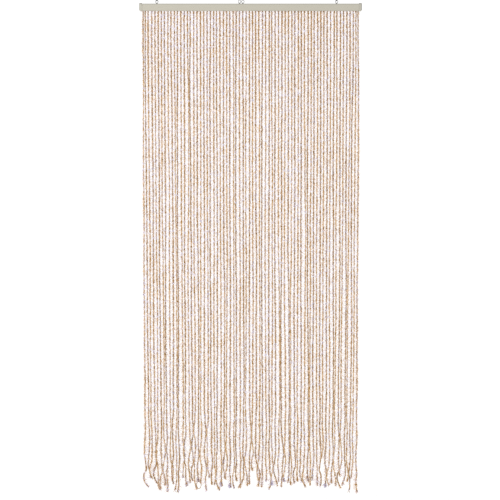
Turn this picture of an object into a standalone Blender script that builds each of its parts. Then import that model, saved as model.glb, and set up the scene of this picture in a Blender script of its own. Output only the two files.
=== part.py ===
"""Foliage door curtain: leafy strings that hang from a header rail on two screw hooks.

Metres, +Z up, +X along the rail, -Y the front. The origin lies midway along the rail, at the
height of the lintel against which the hooks' collars sit.
"""
import math
import random
from collections import namedtuple

import bmesh
import bpy
from mathutils import Vector

# Gap kept between pieces that touch in the real curtain
GAP = 0.0003

# Header rail, end caps included in its length
RAIL_LENGTH = 1.000
RAIL_DEPTH = 0.016
RAIL_HEIGHT = 0.0325
RAIL_WALL = 0.0016
RAIL_LIP = 0.0024
RAIL_ROUND = 0.0022

# End caps: a block against the rail's end, and a tongue that plugs into the channel
CAP_WIDTH = 0.0118
CAP_PROUD = 0.0018
CAP_SOFT = 0.0016
CAP_CUT_ACROSS = 0.0050
CAP_CUT_UP = 0.0055
TONGUE_LENGTH = 0.0120
TONGUE_ROOT = 0.0020

# Wire eyes on the rail: an oval of wire on a rivet through the rail's top wall
EYE_WIRE = 0.0020
EYE_HOLE_WIDTH = 0.0100
EYE_HOLE_HEIGHT = 0.0105
EYE_STEPS = 16
EYE_SIDES = 6
EYE_COLLAR_RADIUS = 0.0042
EYE_COLLAR_HEIGHT = 0.0014
EYE_NECK_RADIUS = 0.0018
EYE_NECK_HEIGHT = 0.0006
RIVET_RADIUS = 0.0016
RIVET_HEAD_RADIUS = 0.0034
RIVET_HEAD_HEIGHT = 0.0012
RIVET_SIDES = 12
EYE_SPOTS = {
    "eye_left": -0.421,
    "eye_mid_left": -0.0495,
    "eye_mid_right": -0.0345,
    "eye_right": 0.387,
}

# Screw hooks, which the outer eyes hang on
HOOK_WIRE = 0.0040
HOOK_HOLE_RADIUS = 0.0050
HOOK_SHANK = 0.0050
HOOK_TIP_ANGLE = math.radians(205)
HOOK_NECK_ANGLE = math.radians(48)
HOOK_STEPS = 15
HOOK_NECK_STEPS = 4
HOOK_SIDES = 8
HOOK_COLLAR_RADIUS = 0.0058
HOOK_COLLAR_HEIGHT = 0.0016
SCREW_RADIUS = 0.0015
SCREW_LENGTH = 0.0140
SCREW_POINT = 0.0040
HOOKS = {"hook_left": "eye_left", "hook_right": "eye_right"}

# Heading strip in the rail, which the strands grow from
STRIP_HEIGHT = 0.0080

# Strands: how many, how thick, and how they are spread along the strip
STRAND_COUNT = 68
STRAND_SIDES = 3
STRAND_RADIUS = 0.0038
STRAND_UNEVEN = 0.08
STRAND_TURN = math.radians(38)
STRAND_PITCH = 0.01467
FIRST_ROOT = -0.4834
SECOND_ROOT = -0.4746
THIRD_ROOT = -0.4607
LAST_BUT_ONE_ROOT = 0.4748
LAST_ROOT = 0.4836
ROOT_JITTER = 0.0013

# The curtain narrows downwards, more so near its edges, and hangs a little to the right.
# The two outermost strands hang straighter than the rest.
DRAW_IN = 0.0147
DRAW_IN_EDGE = 0.0258
DRAW_IN_OUTERMOST = 0.0185
DRIFT = 0.0019

# Heights above the hem line, which is the level that the longest strands just pass
FALL = 2.155
WAVE_TOP = 0.46
WAVE_STEPS = 10
UPPER_STEPS = 11
TAIL = 0.075
TAIL_STEPS = 4

# Slow wander of a whole strand, and the quicker sway of its lowest stretch
WANDER = 0.0018
WANDER_LENGTH = 1.3
SWAY_TOP = 0.0006
SWAY_HEM = 0.0034
SWAY_LENGTH = 0.23
SWAY_FADE = 0.26

# Neighbours hang in two layers from just below the rail, so that they can meet and cross
LAYER_DEPTH = 0.0052
LAYER_TOP = 2.10
LAYER_FULL = 1.86
MEET_SPACING = 0.0038

# Two neighbours run together over a long stretch: left strand, height of the stretch's upper
# and lower end, and the share of their spacing that closes
Bunch = namedtuple("Bunch", "left upper lower share")
BUNCHES = [
    Bunch(0, 1.90, 1.10, 0.28),
    Bunch(6, 1.12, 0.38, 0.22),
    Bunch(10, 1.72, 0.32, 0.36),
    Bunch(10, 1.30, 0.32, 0.58),
    Bunch(12, 1.10, 0.34, 0.42),
    Bunch(14, 1.88, 1.22, 0.52),
    Bunch(14, 1.76, 1.55, 0.72),
    Bunch(17, 1.06, 0.34, 0.42),
    Bunch(20, 0.60, 0.36, 0.35),
    Bunch(25, 0.90, 0.30, 0.42),
    Bunch(28, 1.90, 0.14, 0.42),
    Bunch(31, 1.66, 0.34, 0.42),
    Bunch(36, 1.78, 1.10, 0.72),
    Bunch(36, 1.10, 0.17, 0.56),
    Bunch(39, 1.98, 1.62, 0.32),
    Bunch(40, 1.50, 1.30, 0.35),
    Bunch(42, 0.98, 0.34, 0.66),
    Bunch(45, 0.90, 0.14, 0.66),
    Bunch(50, 1.56, 0.80, 0.58),
    Bunch(51, 0.68, 0.12, 0.45),
    Bunch(59, 2.05, 1.80, 0.40),
    Bunch(59, 1.24, 0.24, 0.56),
    Bunch(61, 1.16, 0.44, 0.25),
    Bunch(63, 0.94, 0.12, 0.42),
    Bunch(63, 0.52, 0.12, 0.60),
    Bunch(64, 1.66, 1.48, 0.33),
    Bunch(65, 0.84, 0.36, 0.15),
]
BUNCH_FADE = 0.12

# A strand hangs to one side of its line over a stretch: strand, height of the stretch's upper
# and lower end, and how far to the right it hangs
Bow = namedtuple("Bow", "strand upper lower shift")
BOWS = [
    Bow(0, 1.68, 1.40, -0.0016),
    Bow(0, 1.02, 0.58, -0.0012),
    Bow(8, 1.38, 0.60, 0.0024),
    Bow(9, 1.78, 0.40, 0.0040),
    Bow(15, 2.00, 1.75, -0.0030),
    Bow(18, 0.85, 0.42, -0.0022),
    Bow(21, 1.85, 1.00, -0.0030),
    Bow(23, 1.50, 1.10, 0.0032),
    Bow(24, 1.00, 0.45, 0.0040),
    Bow(28, 0.85, 0.60, -0.0026),
    Bow(30, 1.00, 0.42, 0.0036),
    Bow(35, 1.10, 0.42, 0.0038),
    Bow(38, 1.40, 1.00, -0.0024),
    Bow(43, 1.60, 1.10, -0.0022),
    Bow(44, 1.60, 0.70, -0.0022),
    Bow(46, 1.30, 0.75, -0.0032),
    Bow(48, 2.00, 1.40, 0.0022),
    Bow(50, 1.20, 0.50, 0.0038),
    Bow(51, 1.20, 0.80, 0.0030),
    Bow(52, 1.30, 0.75, -0.0036),
    Bow(53, 0.66, 0.34, -0.0038),
    Bow(54, 1.38, 0.30, -0.0022),
    Bow(56, 0.70, 0.30, -0.0030),
    Bow(57, 1.80, 0.90, 0.0022),
    Bow(64, 1.50, 1.10, -0.0026),
    Bow(65, 1.75, 0.90, -0.0020),
    Bow(67, 1.90, 1.05, 0.0030),
    Bow(67, 0.56, 0.20, -0.0020),
]

# Two neighbours touch briefly: left strand, height above the hem, half length, whether they cross
Meeting = namedtuple("Meeting", "left height reach crosses")
MEETINGS = [
    Meeting(0, 0.110, 0.030, False),
    Meeting(3, 0.150, 0.050, False),
    Meeting(5, 0.072, 0.026, True),
    Meeting(6, 0.178, 0.034, False),
    Meeting(8, 0.106, 0.030, False),
    Meeting(12, 0.204, 0.026, False),
    Meeting(12, 0.145, 0.026, False),
    Meeting(14, 0.195, 0.034, False),
    Meeting(15, 0.269, 0.034, False),
    Meeting(17, 0.157, 0.032, False),
    Meeting(19, 0.257, 0.036, False),
    Meeting(19, 0.097, 0.026, False),
    Meeting(21, 0.140, 0.040, False),
    Meeting(22, 0.067, 0.026, False),
    Meeting(25, 0.181, 0.036, False),
    Meeting(25, 0.060, 0.028, False),
    Meeting(31, 0.134, 0.030, False),
    Meeting(33, 0.250, 0.044, False),
    Meeting(34, 0.159, 0.028, False),
    Meeting(35, 0.100, 0.030, True),
    Meeting(40, 0.090, 0.030, False),
    Meeting(43, 0.180, 0.036, False),
    Meeting(55, 0.145, 0.030, False),
    Meeting(57, 0.070, 0.028, False),
    Meeting(59, 0.150, 0.070, False),
    Meeting(61, 0.240, 0.052, False),
    Meeting(61, 0.088, 0.026, False),
]

# Ends that stand out: strand, height of its tip above the hem line, sideways bulge, sideways tip
Tail = namedtuple("Tail", "strand tip_height bulge tip_shift")
TAILS = [
    Tail(0, 0.014, -0.013, 0.017),
    Tail(1, 0.056, 0.000, 0.003),
    Tail(2, 0.051, -0.008, 0.002),
    Tail(3, 0.030, -0.011, 0.003),
    Tail(5, 0.023, 0.000, 0.002),
    Tail(6, 0.003, 0.001, -0.004),
    Tail(7, -0.006, 0.003, 0.000),
    Tail(10, -0.002, 0.003, -0.004),
    Tail(11, -0.006, 0.002, -0.008),
    Tail(12, 0.056, 0.000, 0.004),
    Tail(15, 0.042, -0.006, 0.003),
    Tail(16, 0.005, -0.004, 0.006),
    Tail(19, -0.004, -0.003, 0.006),
    Tail(20, 0.056, 0.002, 0.004),
    Tail(23, 0.000, -0.008, 0.010),
    Tail(24, 0.019, -0.001, 0.007),
    Tail(25, 0.051, 0.000, 0.001),
    Tail(26, 0.051, 0.000, -0.001),
    Tail(28, 0.009, -0.003, 0.007),
    Tail(31, 0.012, 0.003, -0.020),
    Tail(33, 0.026, -0.002, -0.005),
    Tail(34, 0.088, -0.003, 0.000),
    Tail(36, 0.032, 0.004, 0.012),
    Tail(39, 0.003, 0.008, 0.002),
    Tail(41, 0.019, 0.002, 0.009),
    Tail(47, 0.030, -0.008, 0.002),
    Tail(50, 0.014, -0.008, 0.004),
    Tail(55, 0.014, 0.007, -0.003),
    Tail(56, 0.145, 0.000, -0.002),
    Tail(61, 0.012, -0.005, 0.009),
    Tail(62, 0.062, 0.000, -0.002),
    Tail(63, 0.023, 0.001, -0.010),
    Tail(64, 0.040, 0.002, -0.002),
    Tail(65, -0.006, 0.003, -0.006),
    Tail(66, 0.054, 0.000, -0.004),
    Tail(67, -0.011, -0.006, 0.003),
]
PLAIN_TIP_HEIGHTS = (0.012, 0.044)
PLAIN_TAIL_SHIFT = 0.006

SEED = 67

# Levels worked out from the sizes above
EYE_FOOT = EYE_COLLAR_HEIGHT + EYE_NECK_HEIGHT
EYE_HOLE_TOP = EYE_FOOT + EYE_WIRE + EYE_HOLE_HEIGHT
HOOK_BEND = HOOK_HOLE_RADIUS + HOOK_WIRE / 2
HOOK_CENTRE = EYE_HOLE_TOP - GAP - HOOK_WIRE / 2 + HOOK_BEND
RAIL_TOP = -(HOOK_CENTRE + HOOK_BEND + HOOK_SHANK + HOOK_COLLAR_HEIGHT)
RAIL_BOTTOM = RAIL_TOP - RAIL_HEIGHT
CHANNEL_HALF = RAIL_DEPTH / 2 - RAIL_WALL
STRIP_BOTTOM = RAIL_BOTTOM + RAIL_WALL + GAP
STRIP_TOP = STRIP_BOTTOM + STRIP_HEIGHT
RAIL_END = RAIL_LENGTH / 2 - CAP_WIDTH - GAP
HEM = STRIP_BOTTOM - FALL


def clear_scene():
    """Removes what the scene starts with."""
    for item in list(bpy.data.objects):
        bpy.data.objects.remove(item, do_unlink=True)


def finish(name, colour, roughness, metallic=0.0):
    """Makes a Principled material."""
    material = bpy.data.materials.new(name)
    material.use_nodes = True
    shader = material.node_tree.nodes["Principled BSDF"]
    shader.inputs["Base Color"].default_value = (*colour, 1.0)
    shader.inputs["Roughness"].default_value = roughness
    shader.inputs["Metallic"].default_value = metallic
    material.diffuse_color = (*colour, 1.0)
    return material


def add_object(name, shape, material):
    """Turns a bmesh into an object whose faces point outwards."""
    bmesh.ops.recalc_face_normals(shape, faces=shape.faces)
    mesh = bpy.data.meshes.new(name)
    shape.to_mesh(mesh)
    shape.free()
    mesh.materials.append(material)
    item = bpy.data.objects.new(name, mesh)
    bpy.context.scene.collection.objects.link(item)
    return item


def combine(item, tool, operation):
    """Cuts a tool out of an object, or joins it on."""
    tool.hide_render = True
    tool.display_type = "WIRE"
    boolean = item.modifiers.new(operation.title(), "BOOLEAN")
    boolean.operation = operation
    boolean.solver = "EXACT"
    boolean.object = tool


def smooth_step(value):
    """Runs from 0 to 1 with level ends."""
    value = min(max(value, 0.0), 1.0)
    return value * value * (3 - 2 * value)


def join_rings(shape, rings):
    """Skins rings of equally many points with quads."""
    for upper, lower in zip(rings, rings[1:]):
        count = len(upper)
        for i in range(count):
            j = (i + 1) % count
            shape.faces.new((upper[i], upper[j], lower[j], lower[i]))


def close_ends(shape, rings):
    """Closes the first and the last ring with a face."""
    shape.faces.new(rings[0])
    shape.faces.new(rings[-1][::-1])


def add_loft(shape, outlines):
    """Skins outlines of equally many points, and closes both ends."""
    rings = [[shape.verts.new(point) for point in outline] for outline in outlines]
    join_rings(shape, rings)
    close_ends(shape, rings)


def add_turned(shape, centre, profile, sides):
    """Turns a profile of (radius, height) points about an upright axis."""
    outlines = []
    for radius, height in profile:
        angles = [2 * math.pi * i / sides for i in range(sides)]
        outlines.append(
            [centre + Vector((radius * math.cos(a), radius * math.sin(a), height)) for a in angles]
        )
    add_loft(shape, outlines)


def tube_ring(shape, point, tangent, side, radius, count, turn=0.0):
    """Adds one ring of a tube, square to its tangent."""
    across = (side - tangent * side.dot(tangent)).normalized()
    outward = tangent.cross(across)
    ring = []
    for i in range(count):
        angle = turn + 2 * math.pi * i / count
        offset = across * math.cos(angle) + outward * math.sin(angle)
        ring.append(shape.verts.new(point + offset * radius))
    return ring


def add_tube(shape, path, side, radius, count, closed=False):
    """Adds a round tube along a path that lies in the plane square to side."""
    rings = []
    last = len(path) - 1
    for i, point in enumerate(path):
        before = path[i - 1] if closed or i > 0 else point
        after = path[(i + 1) % len(path)] if closed or i < last else point
        tangent = (after - before).normalized()
        rings.append(tube_ring(shape, point, tangent, side, radius, count))
    if closed:
        join_rings(shape, rings + rings[:1])
    else:
        join_rings(shape, rings)
        close_ends(shape, rings)


def rail_outline():
    """Gives the channel's outline in (y, z), with rounded top edges and two inward lips."""
    half = RAIL_DEPTH / 2
    lip = CHANNEL_HALF - RAIL_LIP
    soft = RAIL_ROUND * (1 - math.sqrt(0.5))
    right = [
        (half - RAIL_ROUND, RAIL_TOP),
        (half - soft, RAIL_TOP - soft),
        (half, RAIL_TOP - RAIL_ROUND),
        (half, RAIL_BOTTOM),
        (lip, RAIL_BOTTOM),
        (lip, RAIL_BOTTOM + RAIL_WALL),
        (CHANNEL_HALF, RAIL_BOTTOM + RAIL_WALL),
        (CHANNEL_HALF, RAIL_TOP - RAIL_WALL),
    ]
    return right + [(-y, z) for y, z in reversed(right)]


def build_rail(material):
    """Builds the header rail, with a hole for each eye's rivet."""
    shape = bmesh.new()
    add_loft(shape, [[Vector((x, y, z)) for y, z in rail_outline()] for x in (-RAIL_END, RAIL_END)])
    rail = add_object("rail", shape, material)
    holes = bmesh.new()
    reach = RAIL_WALL * 2
    profile = [(RIVET_RADIUS + GAP, -reach), (RIVET_RADIUS + GAP, reach)]
    for x in EYE_SPOTS.values():
        add_turned(holes, Vector((x, 0, RAIL_TOP)), profile, RIVET_SIDES)
    combine(rail, add_object("rivet_holes", holes, material), "DIFFERENCE")


def build_end_cap(name, side, material):
    """Builds a block whose lower outer corner is cut off, with a tongue into the channel."""
    outer = side * RAIL_LENGTH / 2
    inner = outer - side * CAP_WIDTH
    top = RAIL_TOP + CAP_PROUD
    bottom = RAIL_BOTTOM - CAP_PROUD
    depth = RAIL_DEPTH / 2 + CAP_PROUD
    outline = [
        (inner, top),
        (outer - side * CAP_SOFT, top),
        (outer, top - CAP_SOFT),
        (outer, bottom + CAP_CUT_UP),
        (outer - side * CAP_CUT_ACROSS, bottom),
        (inner, bottom),
    ]
    block = bmesh.new()
    add_loft(block, [[Vector((x, y, z)) for x, z in outline] for y in (-depth, depth)])
    cap = add_object(name, block, material)
    reach = CHANNEL_HALF - GAP
    upper = RAIL_TOP - RAIL_WALL - GAP
    lower = STRIP_TOP + GAP
    section = [(-reach, upper), (-reach, lower), (reach, lower), (reach, upper)]
    ends = (inner + side * TONGUE_ROOT, inner - side * TONGUE_LENGTH)
    tongue = bmesh.new()
    add_loft(tongue, [[Vector((x, y, z)) for y, z in section] for x in ends])
    combine(cap, add_object(name + "_tongue", tongue, material), "UNION")


def build_eye(name, x, material):
    """Builds an oval wire eye on a collar, riveted through the rail's top wall."""
    inside = RAIL_WALL + GAP
    shank = [
        (RIVET_HEAD_RADIUS, -inside - RIVET_HEAD_HEIGHT),
        (RIVET_HEAD_RADIUS, -inside),
        (RIVET_RADIUS, -inside),
        (RIVET_RADIUS, GAP),
        (EYE_COLLAR_RADIUS, GAP),
        (EYE_COLLAR_RADIUS, EYE_COLLAR_HEIGHT),
        (EYE_NECK_RADIUS, EYE_COLLAR_HEIGHT),
        (EYE_NECK_RADIUS, EYE_FOOT + EYE_WIRE / 2),
    ]
    shape = bmesh.new()
    add_turned(shape, Vector((x, 0, RAIL_TOP)), shank, RIVET_SIDES)
    eye = add_object(name, shape, material)
    centre = Vector((x, 0, RAIL_TOP + EYE_FOOT + EYE_WIRE + EYE_HOLE_HEIGHT / 2))
    wide = (EYE_HOLE_WIDTH + EYE_WIRE) / 2
    tall = (EYE_HOLE_HEIGHT + EYE_WIRE) / 2
    path = []
    for i in range(EYE_STEPS):
        angle = 2 * math.pi * i / EYE_STEPS
        path.append(centre + Vector((wide * math.sin(angle), 0, tall * math.cos(angle))))
    loop = bmesh.new()
    add_tube(loop, path, Vector((0, 1, 0)), EYE_WIRE / 2, EYE_SIDES, closed=True)
    combine(eye, add_object(name + "_loop", loop, material), "UNION")


def hook_path(x):
    """Gives the hook's centre line, from its tip round the bend and up the shank."""
    centre = Vector((x, 0, RAIL_TOP + HOOK_CENTRE))
    sweep = HOOK_TIP_ANGLE + HOOK_NECK_ANGLE
    angles = [sweep * i / HOOK_STEPS - HOOK_TIP_ANGLE for i in range(HOOK_STEPS + 1)]
    points = [centre + HOOK_BEND * Vector((0, math.cos(a), math.sin(a))) for a in angles]
    start = points[-1]
    neck = Vector((x, 0, centre.z + HOOK_BEND + HOOK_SHANK / 2))
    pull = (neck.z - start.z) / 2
    leave = start + pull * Vector((0, -math.sin(HOOK_NECK_ANGLE), math.cos(HOOK_NECK_ANGLE)))
    arrive = neck - Vector((0, 0, pull))
    for i in range(1, HOOK_NECK_STEPS + 1):
        t = i / HOOK_NECK_STEPS
        near = start.lerp(leave, t).lerp(leave.lerp(arrive, t), t)
        far = leave.lerp(arrive, t).lerp(arrive.lerp(neck, t), t)
        points.append(near.lerp(far, t))
    points.append(Vector((x, 0, -HOOK_COLLAR_HEIGHT / 2)))
    return points


def build_hook(name, x, material):
    """Builds a screw hook: its bend, shank, collar and screw, all on one upright axis."""
    shape = bmesh.new()
    add_tube(shape, hook_path(x), Vector((1, 0, 0)), HOOK_WIRE / 2, HOOK_SIDES)
    hook = add_object(name, shape, material)
    screw = [
        (HOOK_COLLAR_RADIUS, -HOOK_COLLAR_HEIGHT),
        (HOOK_COLLAR_RADIUS, 0.0),
        (SCREW_RADIUS, 0.0),
        (SCREW_RADIUS, SCREW_LENGTH - SCREW_POINT),
        (SCREW_RADIUS / 5, SCREW_LENGTH),
    ]
    turned = bmesh.new()
    add_turned(turned, Vector((x, 0, 0)), screw, RIVET_SIDES)
    combine(hook, add_object(name + "_screw", turned, material), "UNION")


def even_root(index):
    """Gives a strand's place along the strip; the outer two at each end start close together."""
    ends = {0: FIRST_ROOT, 1: SECOND_ROOT, STRAND_COUNT - 2: LAST_BUT_ONE_ROOT, STRAND_COUNT - 1: LAST_ROOT}
    return ends.get(index, THIRD_ROOT + (index - 2) * STRAND_PITCH)


def stretch(item, height):
    """Gives how fully a bunch or a bow acts at a height, from 0 to 1."""
    above = smooth_step((item.upper + BUNCH_FADE - height) / BUNCH_FADE)
    below = smooth_step((height - item.lower + BUNCH_FADE) / BUNCH_FADE)
    return above * below


def closeness(left, height):
    """Gives how far a strand and the next one have closed up, from 0 to 1."""
    nearest = 0.0
    for meeting in MEETINGS:
        if meeting.left == left and not meeting.crosses:
            nearness = math.exp(-(((height - meeting.height) / meeting.reach) ** 2))
            nearest = max(nearest, nearness)
    for bunch in BUNCHES:
        if bunch.left == left:
            nearest = max(nearest, bunch.share * stretch(bunch, height))
    return nearest


class Strand:
    """One leafy string: where it starts, how it wanders, and how its tail lies."""

    def __init__(self, index, dice):
        self.index = index
        self.root = even_root(index)
        self.outermost = index in (0, STRAND_COUNT - 1)
        jitter = dice.uniform(-ROOT_JITTER, ROOT_JITTER)
        if 1 < index < STRAND_COUNT - 2:
            self.root += jitter
        self.layer = LAYER_DEPTH if index % 2 else -LAYER_DEPTH
        self.wander_phase = dice.uniform(0, 2 * math.pi)
        self.sway_phase = dice.uniform(0, 2 * math.pi)
        self.sway_length = SWAY_LENGTH * dice.uniform(0.8, 1.25)
        self.tip_height = dice.uniform(*PLAIN_TIP_HEIGHTS)
        self.bulge = dice.uniform(-PLAIN_TAIL_SHIFT, PLAIN_TAIL_SHIFT)
        self.tip_shift = dice.uniform(-PLAIN_TAIL_SHIFT, PLAIN_TAIL_SHIFT)
        for tail in TAILS:
            if tail.strand == index:
                self.tip_height = tail.tip_height
                self.bulge = tail.bulge
                self.tip_shift = tail.tip_shift

    def straight(self, height):
        """Gives the strand's x at a height, with all strands drawing together downwards."""
        fallen = 1 - height / FALL
        draw = DRAW_IN + DRAW_IN_EDGE * (self.root / LAST_ROOT) ** 2
        if self.outermost:
            draw = DRAW_IN_OUTERMOST
        return self.root * (1 - draw * fallen) + DRIFT * fallen

    def wander(self, height):
        """Gives the strand's bows, its slow wander and the sway near the hem."""
        eased = smooth_step((FALL - height) / (FALL - WAVE_TOP))
        bowed = sum(bow.shift * stretch(bow, height) for bow in BOWS if bow.strand == self.index)
        slow = WANDER * eased * math.sin(2 * math.pi * height / WANDER_LENGTH + self.wander_phase)
        reach = SWAY_TOP + (SWAY_HEM - SWAY_TOP) * math.exp(-((height / SWAY_FADE) ** 2))
        sway = reach * eased * math.sin(2 * math.pi * height / self.sway_length + self.sway_phase)
        return bowed + slow + sway

    def pulled(self, height):
        """Gives how far the neighbours on both sides pull the strand."""
        pull = closeness(self.index, height) - closeness(self.index - 1, height)
        shift = pull * (STRAND_PITCH - MEET_SPACING) / 2
        for meeting in MEETINGS:
            side = {meeting.left: 1, meeting.left + 1: -1}.get(self.index, 0)
            if meeting.crosses and side:
                across = smooth_step((meeting.height + meeting.reach - height) / (2 * meeting.reach))
                shift += side * STRAND_PITCH * across
        return shift

    def tail(self, height):
        """Gives the sideways run of the tail."""
        along = min(max(1 - (height - self.tip_height) / TAIL, 0.0), 1.0)
        return self.bulge * 4 * along * (1 - along) + self.tip_shift * along ** 2

    def point(self, height):
        """Gives the strand's centre at a height above the hem line."""
        x = self.straight(height) + self.wander(height) + self.pulled(height) + self.tail(height)
        y = self.layer * smooth_step((LAYER_TOP - height) / (LAYER_TOP - LAYER_FULL))
        return Vector((x, y, HEM + height))

    def heights(self):
        """Gives the heights of its rings: few above, closer in the waves, closest in the tail."""
        tail_top = self.tip_height + TAIL
        upper = [FALL + (WAVE_TOP - FALL) * i / UPPER_STEPS for i in range(UPPER_STEPS)]
        waves = [WAVE_TOP + (tail_top - WAVE_TOP) * i / WAVE_STEPS for i in range(WAVE_STEPS)]
        tail = [tail_top - TAIL * i / TAIL_STEPS for i in range(TAIL_STEPS + 1)]
        return upper + waves + tail


def add_strand(shape, strand, dice):
    """Adds a strand's rings and skin, and gives back its root ring."""
    points = [strand.point(height) for height in strand.heights()]
    rings = []
    for i, point in enumerate(points):
        before = points[max(i - 1, 0)]
        after = points[min(i + 1, len(points) - 1)]
        tangent = (after - before).normalized() if i else Vector((0, 0, -1))
        uneven = dice.uniform(-STRAND_UNEVEN, STRAND_UNEVEN) if i else 0.0
        radius = STRAND_RADIUS * (1 + uneven)
        turn = STRAND_TURN * i
        rings.append(tube_ring(shape, point, tangent, Vector((1, 0, 0)), radius, STRAND_SIDES, turn))
    for upper, lower in zip(rings, rings[1:]):
        for i in range(STRAND_SIDES):
            j = (i + 1) % STRAND_SIDES
            shape.faces.new((upper[i], upper[j], lower[j]))
            shape.faces.new((upper[i], lower[j], lower[i]))
    shape.faces.new(rings[-1])
    return rings[0]


def build_strands(material):
    """Builds the heading strip with every strand fused to its underside."""
    dice = random.Random(SEED)
    strands = [Strand(index, dice) for index in range(STRAND_COUNT)]
    depth = CHANNEL_HALF - GAP
    end = RAIL_END - GAP
    middles = [(a.root + b.root) / 2 for a, b in zip(strands, strands[1:])]
    edges = [-end] + middles + [end]
    shape = bmesh.new()
    front = [shape.verts.new((x, -depth, STRIP_BOTTOM)) for x in edges]
    back = [shape.verts.new((x, depth, STRIP_BOTTOM)) for x in edges]
    corners = [(-end, -depth), (end, -depth), (end, depth), (-end, depth)]
    top = [shape.verts.new((x, y, STRIP_TOP)) for x, y in corners]
    shape.faces.new(top)
    shape.faces.new(front + [top[1], top[0]])
    shape.faces.new(back + [top[2], top[3]])
    shape.faces.new((front[0], back[0], top[3], top[0]))
    shape.faces.new((front[-1], back[-1], top[2], top[1]))
    for i, strand in enumerate(strands):
        cell = (front[i], front[i + 1], back[i + 1], back[i])
        join_root(shape, cell, add_strand(shape, strand, dice))
    add_object("strands", shape, material)


def join_root(shape, cell, root):
    """Fills the strip's underside between one cell's corners and its strand's root ring."""
    front_left, front_right, back_right, back_left = cell
    right, first, second = root
    ahead, behind = (first, second) if first.co.y < second.co.y else (second, first)
    shape.faces.new((front_left, front_right, ahead))
    shape.faces.new((front_right, right, ahead))
    shape.faces.new((front_right, back_right, right))
    shape.faces.new((back_right, behind, right))
    shape.faces.new((back_right, back_left, behind))
    shape.faces.new((back_left, ahead, behind))
    shape.faces.new((back_left, front_left, ahead))


def main():
    """Builds every piece of the curtain."""
    clear_scene()
    painted = finish("greige_painted_rail", (0.60, 0.57, 0.50), 0.45)
    moulded = finish("greige_moulded_cap", (0.52, 0.50, 0.44), 0.50)
    wire = finish("zinc_wire", (0.62, 0.61, 0.58), 0.40, 0.9)
    dark = finish("dark_steel", (0.08, 0.08, 0.075), 0.45, 0.8)
    leafy = finish("leafy_strand", (0.62, 0.47, 0.33), 0.70)
    build_rail(painted)
    build_end_cap("end_cap_left", -1, moulded)
    build_end_cap("end_cap_right", 1, moulded)
    for name, x in EYE_SPOTS.items():
        build_eye(name, x, wire)
    for name, eye in HOOKS.items():
        build_hook(name, EYE_SPOTS[eye], dark)
    build_strands(leafy)


main()
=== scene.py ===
"""Foliage door curtain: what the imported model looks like, as a product on white.

Metres, +Z up, +X along the rail, -Y the front. Each string follows the course of its solid,
which is read from the frame.
"""
import logging
import math
from dataclasses import dataclass, field
from enum import Enum

import bpy
import numpy as np
from bpy.types import Material, Node, NodeSocket, NodeTree, Object
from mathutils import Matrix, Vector


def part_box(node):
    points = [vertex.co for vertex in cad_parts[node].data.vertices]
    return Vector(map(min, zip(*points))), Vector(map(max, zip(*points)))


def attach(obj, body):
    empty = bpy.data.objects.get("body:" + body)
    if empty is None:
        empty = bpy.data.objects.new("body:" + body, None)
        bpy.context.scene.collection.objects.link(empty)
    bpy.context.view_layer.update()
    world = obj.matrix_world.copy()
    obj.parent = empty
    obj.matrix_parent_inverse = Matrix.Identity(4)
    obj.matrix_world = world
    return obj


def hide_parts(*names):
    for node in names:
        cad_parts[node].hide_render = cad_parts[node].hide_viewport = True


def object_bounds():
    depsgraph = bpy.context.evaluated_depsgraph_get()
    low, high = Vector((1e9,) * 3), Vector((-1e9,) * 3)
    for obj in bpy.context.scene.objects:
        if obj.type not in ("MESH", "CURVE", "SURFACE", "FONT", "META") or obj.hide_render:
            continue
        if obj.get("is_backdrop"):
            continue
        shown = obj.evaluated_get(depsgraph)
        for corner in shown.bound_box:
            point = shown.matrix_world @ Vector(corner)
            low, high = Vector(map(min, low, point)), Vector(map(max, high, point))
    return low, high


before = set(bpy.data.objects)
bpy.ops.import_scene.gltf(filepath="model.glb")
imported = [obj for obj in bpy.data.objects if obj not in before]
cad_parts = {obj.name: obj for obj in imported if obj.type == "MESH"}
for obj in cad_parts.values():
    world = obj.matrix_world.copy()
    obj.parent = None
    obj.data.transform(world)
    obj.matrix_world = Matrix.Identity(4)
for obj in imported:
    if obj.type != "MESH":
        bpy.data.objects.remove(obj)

LOG = logging.getLogger("curtain")
BODY = "root"
MM = 0.001

# The rail's wall, and the gap that pieces keep where they meet
RAIL_WALL = 1.6 * MM
GAP = 0.3 * MM

# The usual distance between neighbouring strings
PITCH = 14.7 * MM

# The strings' solid has three points to a ring, and is read from just below the heading strip
RING_POINTS = 3
READ_BELOW = 0.1 * MM

# A Mix node's sockets when it mixes colours
FACTOR, COLOUR_A, COLOUR_B, MIXED = 0, 6, 7, 2


def linear(hex_colour: str) -> tuple[float, float, float, float]:
    """Turns an sRGB hex colour into the linear RGBA that shaders take.

    Args:
        hex_colour: Six hex digits after a hash sign.

    Returns:
        Red, green, blue and an alpha of 1.
    """
    parts = [int(hex_colour[i:i + 2], 16) / 255 for i in (1, 3, 5)]
    # The numbers are those of the sRGB curve
    red, green, blue = [c / 12.92 if c <= 0.04045 else ((c + 0.055) / 1.055) ** 2.4 for c in parts]
    return (red, green, blue, 1.0)


def set_node(node: Node, settings: dict | None = None, links: dict | None = None) -> None:
    """Gives a node its settings and links.

    Args:
        node: The node.
        settings: Values by property name, or by input name or number.
        links: Output sockets by the input name or number that they feed.
    """
    for name, value in (settings or {}).items():
        if isinstance(name, int) or name in node.inputs:
            node.inputs[name].default_value = value
        else:
            setattr(node, name, value)
    for name, socket in (links or {}).items():
        node.id_data.links.new(socket, node.inputs[name])


def add_node(tree: NodeTree, kind: str, settings: dict | None = None, links: dict | None = None) -> Node:
    """Adds a node with its settings and links.

    Args:
        tree: The node tree that takes it.
        kind: The node's type name.
        settings: Values by property name, or by input name or number.
        links: Output sockets by the input name or number that they feed.

    Returns:
        The new node.
    """
    node = tree.nodes.new(kind)
    set_node(node, settings, links)
    return node


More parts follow.
